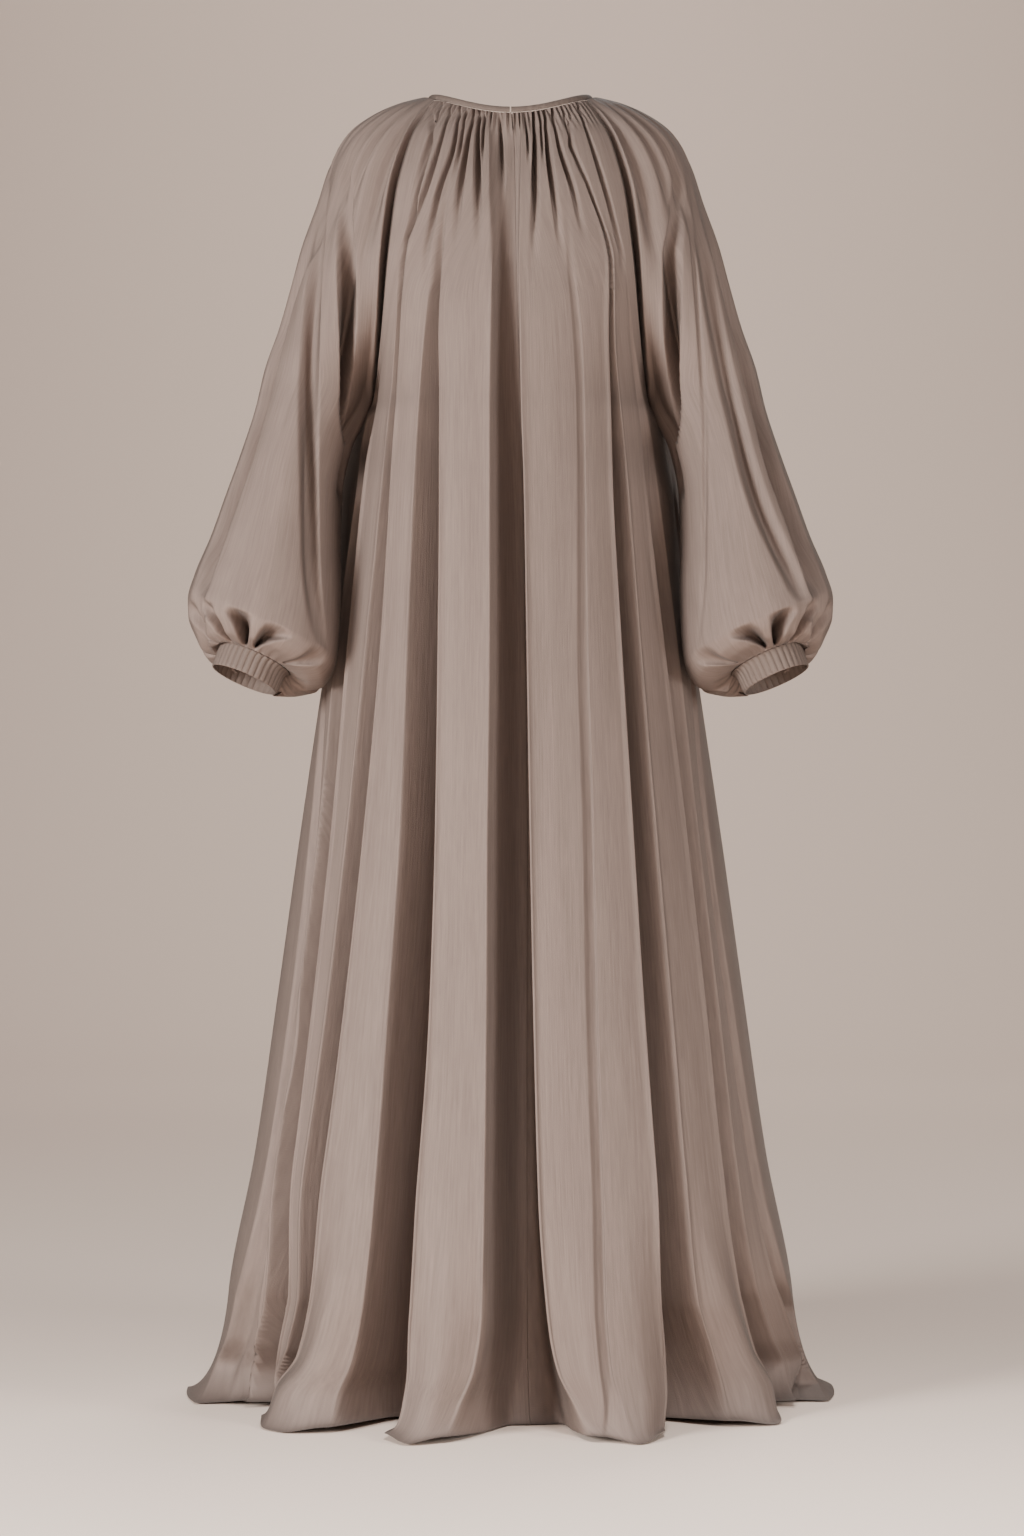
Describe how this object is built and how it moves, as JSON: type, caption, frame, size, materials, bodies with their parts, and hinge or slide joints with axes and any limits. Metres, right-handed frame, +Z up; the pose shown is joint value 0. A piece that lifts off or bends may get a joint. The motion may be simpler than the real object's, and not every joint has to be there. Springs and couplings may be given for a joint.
{
  "type": "abaya",
  "caption": "Floor-length abaya with a gathered round neckline, narrow neckband, full raglan sleeves gathered into elastic cuffs and a body falling in deep soft folds to a flared hem.",
  "frame": {"origin": "centre of the neck opening, level with the sides of the neck, where the wearer's shoulders carry the garment", "axes": "+Z up, -Y is the front, +X the wearer's left"},
  "size_m": [0.728, 0.7029, 1.457],
  "materials": {
    "crepe": "soft matt crepe, taupe",
    "crepe_trim": "the same crepe folded and shirred, taupe"
  },
  "bodies": {
    "root": {"front_right": "crepe", "front_left": "crepe", "back": "crepe", "sleeve_right": "crepe", "sleeve_left": "crepe", "neckband": "crepe_trim", "cuff_right": "crepe_trim", "cuff_left": "crepe_trim"}
  },
  "joints": []
}
